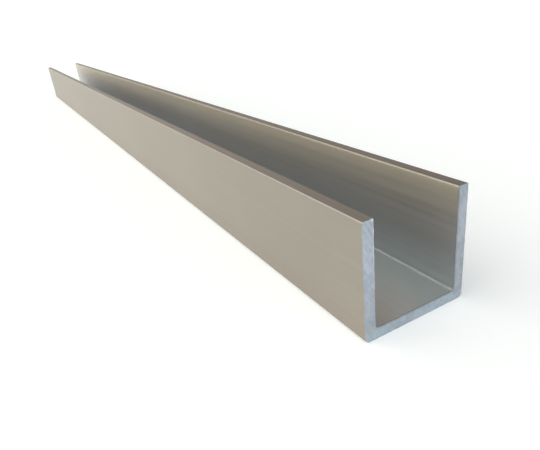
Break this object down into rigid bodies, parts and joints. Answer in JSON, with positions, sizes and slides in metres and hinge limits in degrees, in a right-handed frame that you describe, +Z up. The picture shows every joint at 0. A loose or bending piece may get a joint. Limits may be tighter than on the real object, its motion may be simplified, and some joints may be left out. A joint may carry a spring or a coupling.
{
  "type": "aluminium channel section",
  "caption": "Straight extruded aluminium channel with a web and equal flanges, satin anodised and sawn square at both ends, for edging panels and framing.",
  "frame": {"origin": "middle of the web's underside, half-way along the bar", "axes": "+X along the bar, +Y across its width, +Z up out of the open side"},
  "size_m": [0.5, 0.03, 0.03],
  "materials": {
    "anodised_aluminium": "satin"
  },
  "bodies": {
    "root": {"channel": "anodised_aluminium"}
  },
  "joints": []
}
